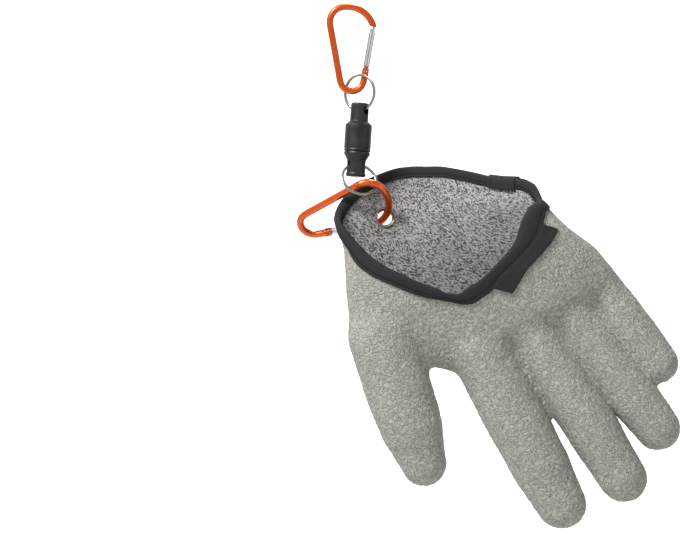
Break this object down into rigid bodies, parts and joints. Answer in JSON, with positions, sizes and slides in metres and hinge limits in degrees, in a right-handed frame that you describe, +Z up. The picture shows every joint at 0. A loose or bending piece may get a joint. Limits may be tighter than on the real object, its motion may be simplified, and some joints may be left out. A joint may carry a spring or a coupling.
{
  "type": "fishing glove on a carabiner tether with a magnetic quick-release clip",
  "caption": "Right-hand latex-dipped knit fishing glove hanging by its cuff eyelet from carabiners, split rings and a magnetic release clip",
  "frame": {"origin": "inside of the upper carabiner's crown, where its hook or loop carries it", "axes": "+Z up, -Y out of the front that shows, +X to the viewer's right"},
  "size_m": [0.2492, 0.0631, 0.3417],
  "materials": {
    "orange_aluminium": "anodised satin",
    "silver_aluminium": "satin",
    "nickel_steel": "polished nickel",
    "black_plastic": "matte",
    "grey_latex": "matte crinkled",
    "speckled_knit": "knitted",
    "black_tape": "woven"
  },
  "bodies": {
    "held": {"upper_carabiner_body": "orange_aluminium", "upper_hinge_pin": "orange_aluminium", "split_ring_upper": "nickel_steel", "clip_socket": "black_plastic"},
    "upper_gate": {"upper_carabiner_gate": "silver_aluminium"},
    "released": {"clip_plug": "black_plastic", "split_ring_lower": "nickel_steel", "lower_carabiner_body": "orange_aluminium", "lower_hinge_pin": "orange_aluminium", "latex_shell": "grey_latex", "knit_liner": "speckled_knit", "cuff_binding": "black_tape", "binding_overlap": "black_tape", "loop_label": "black_tape", "eyelet": "nickel_steel"},
    "lower_gate": {"lower_carabiner_gate": "silver_aluminium"}
  },
  "joints": [
    {"name": "upper_gate_hinge", "type": "hinge", "parent": "held", "child": "upper_gate", "pos_m": [0.01178, 0, -0.03995], "axis": [0, -1, 0], "range_deg": [0, 28], "stiffness_Nm_per_rad": 0.02, "springref_deg": -22.92},
    {"name": "clip_release", "type": "slide", "parent": "held", "child": "released", "axis": [-0.0628, 0, -0.998], "range_m": [0, 0.02]},
    {"name": "lower_gate_hinge", "type": "hinge", "parent": "released", "child": "lower_gate", "pos_m": [-0.01252, 0.01727, -0.14527], "axis": [-0.0992, -0.7881, -0.6075], "range_deg": [0, 2], "stiffness_Nm_per_rad": 0.02, "springref_deg": -22.92}
  ]
}
